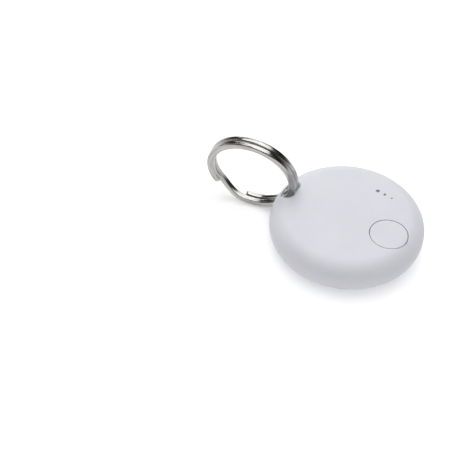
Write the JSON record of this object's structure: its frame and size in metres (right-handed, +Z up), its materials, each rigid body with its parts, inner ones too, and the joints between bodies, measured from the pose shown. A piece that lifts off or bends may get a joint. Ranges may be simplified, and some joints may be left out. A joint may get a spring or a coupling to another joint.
{
  "type": "bluetooth tracker tag",
  "caption": "Round white tracker tag with a press button, sound holes, a coin-turned battery door and a split key ring through an eyelet in its rim.",
  "frame": {"origin": "centre of the flat underside", "axes": "+Z up out of the top face, +X towards the button; the eyelet is 8 degrees round from the opposite side"},
  "size_m": [0.0585, 0.04, 0.0248],
  "materials": {
    "white_plastic": "satin",
    "ring_steel": "bright nickel plate",
    "nickel": "satin",
    "screw_steel": "satin",
    "gold_spring": "gold flash",
    "brass": "satin",
    "black_rubber": "matte",
    "green_board": "solder mask",
    "black_plastic": "moulded epoxy",
    "grey_plastic": "matte",
    "grey_tape": "foam tape",
    "cream_ceramic": "fired ceramic",
    "grey_ferrite": "pressed ferrite"
  },
  "bodies": {
    "housing": {"top_shell": "white_plastic", "bottom_shell": "white_plastic", "circuit_board": "green_board", "switch_body": "black_plastic", "buzzer_tape": "grey_tape", "buzzer_plate": "brass", "buzzer_ceramic": "cream_ceramic", "cell_can": "nickel", "cell_cap": "nickel", "cell_gasket": "black_rubber", "negative_contact": "gold_spring", "positive_contact": "gold_spring", "radio_chip": "black_plastic", "crystal": "nickel", "antenna_chip": "cream_ceramic", "inductor": "grey_ferrite", "capacitor_1": "cream_ceramic", "capacitor_2": "cream_ceramic", "capacitor_3": "cream_ceramic", "capacitor_4": "cream_ceramic", "resistor_1": "black_plastic", "resistor_2": "black_plastic", "resistor_3": "black_plastic", "board_screw_1": "screw_steel", "board_screw_2": "screw_steel", "board_screw_3": "screw_steel"},
    "button": {"button_cap": "white_plastic"},
    "switch": {"switch_plunger": "grey_plastic"},
    "door": {"battery_door": "white_plastic", "door_seal": "black_rubber"},
    "ring": {"split_ring": "ring_steel"}
  },
  "joints": [
    {"name": "button_press", "type": "slide", "parent": "housing", "child": "button", "axis": [0, 0, -1], "range_m": [0, 0.00025], "stiffness_N_per_m": 1500, "springref_m": -0.0003},
    {"name": "switch_press", "type": "slide", "parent": "housing", "child": "switch", "axis": [0, 0, -1], "range_m": [0, 0.00025]},
    {"name": "battery_door_turn", "type": "hinge", "parent": "housing", "child": "door", "pos_m": [0.003, 0, 0], "axis": [0, 0, 1], "range_deg": [0, 32]},
    {"name": "ring_swing", "type": "hinge", "parent": "housing", "child": "ring", "pos_m": [-0.01872, -0.00257, 0.0081], "axis": [0.1357, -0.9907, 0], "range_deg": [-2, 45]}
  ],
  "couplings": [
    {"joint": "switch_press", "follows": "button_press", "ratio": 1}
  ]
}
